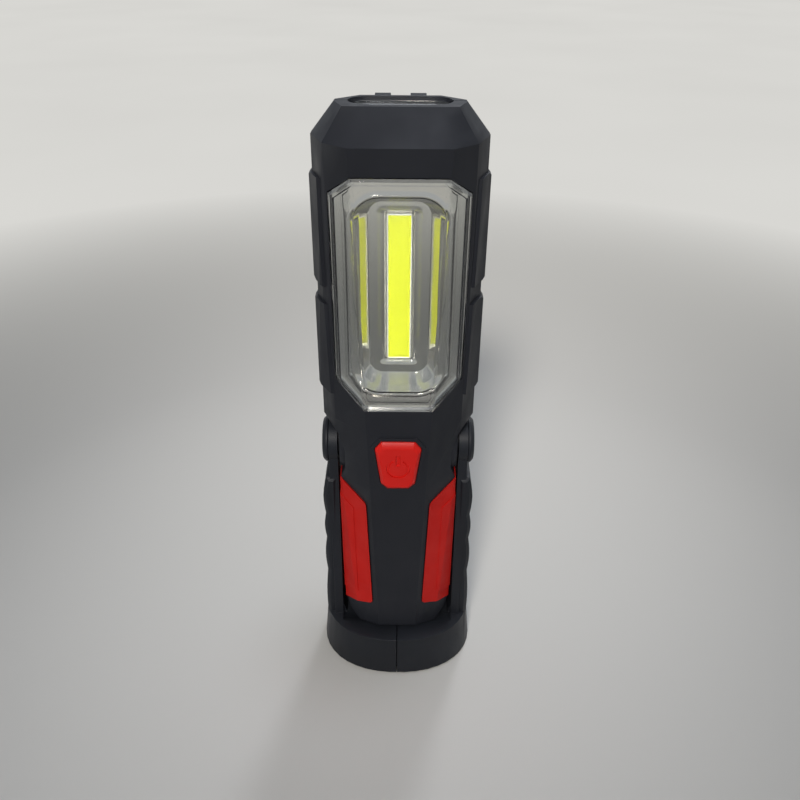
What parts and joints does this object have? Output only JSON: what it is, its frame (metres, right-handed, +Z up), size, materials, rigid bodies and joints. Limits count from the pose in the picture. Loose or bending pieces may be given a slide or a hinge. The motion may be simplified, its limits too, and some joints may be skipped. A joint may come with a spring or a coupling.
{
  "type": "work light",
  "caption": "Hand-held work light: faceted lamp body with a long window lamp and a top torch, swinging between the arms of a magnetic stand, with a fold-out hook.",
  "frame": {"origin": "middle of the foot's underside, on the surface that the stand rests on", "axes": "+Z up along the lamp body, the window faces -Y, +X to the right seen from the window side"},
  "size_m": [0.0598, 0.0488, 0.215],
  "materials": {
    "soft_black": "soft-touch charcoal",
    "stand_black": "satin charcoal",
    "button_red": "satin red",
    "grip_red": "soft matt red",
    "clear_cover": "clear moulded",
    "reflector": "vacuum metallised",
    "phosphor": "yellow phosphor gel",
    "white_board": "white solder mask",
    "green_board": "green solder mask",
    "steel": "zinc plated",
    "alloy": "plain sheet",
    "cell": "plain wrap",
    "nylon": "natural",
    "magnet": "sintered"
  },
  "bodies": {
    "stand": {"stand_half_left": "stand_black", "stand_half_right": "stand_black", "foot_cover": "stand_black", "foot_magnet": "magnet", "foot_screw_1": "steel", "foot_screw_2": "steel", "foot_screw_3": "steel", "foot_screw_4": "steel", "pivot_cap_left": "stand_black", "pivot_cap_right": "stand_black"},
    "lamp": {"front_housing": "soft_black", "rear_housing": "soft_black", "window_cover": "clear_cover", "window_reflector": "reflector", "light_strip": "phosphor", "strip_board": "white_board", "heat_plate": "alloy", "torch_lens": "clear_cover", "torch_reflector": "reflector", "torch_board": "white_board", "torch_led_1": "clear_cover", "torch_led_2": "clear_cover", "torch_led_3": "clear_cover", "torch_led_4": "clear_cover", "torch_led_5": "clear_cover", "circuit_board": "green_board", "tact_switch": "nylon", "battery_cell_1": "cell", "battery_cell_2": "cell", "battery_cell_3": "cell", "battery_contact_low": "steel", "battery_contact_high": "steel", "grip_left": "grip_red", "grip_right": "grip_red", "hook_pin": "steel", "housing_screw_1": "steel", "housing_screw_2": "steel", "housing_screw_3": "steel", "housing_screw_4": "steel", "housing_screw_5": "steel", "housing_screw_6": "steel", "pivot_pin_left": "steel", "pivot_pin_right": "steel", "pivot_washer_left": "stand_black", "pivot_washer_right": "stand_black", "pivot_clip_left": "steel", "pivot_clip_right": "steel"},
    "hook_arm": {"hook": "soft_black"},
    "button": {"power_button": "button_red"},
    "door": {"battery_door": "soft_black"}
  },
  "joints": [
    {"name": "stand_tilt", "type": "hinge", "parent": "stand", "child": "lamp", "pos_m": [0, 0, 0.0975], "axis": [1, 0, 0], "range_deg": [-90, 90]},
    {"name": "hook_fold", "type": "hinge", "parent": "lamp", "child": "hook_arm", "pos_m": [0, 0.0182, 0.211], "axis": [1, 0, 0], "range_deg": [0, 180]},
    {"name": "button_press", "type": "slide", "parent": "lamp", "child": "button", "axis": [0, 1, 0], "range_m": [0, 0.0008], "stiffness_N_per_m": 1500},
    {"name": "door_lift", "type": "slide", "parent": "lamp", "child": "door", "axis": [0, 1, 0], "range_m": [0, 0.02]}
  ]
}
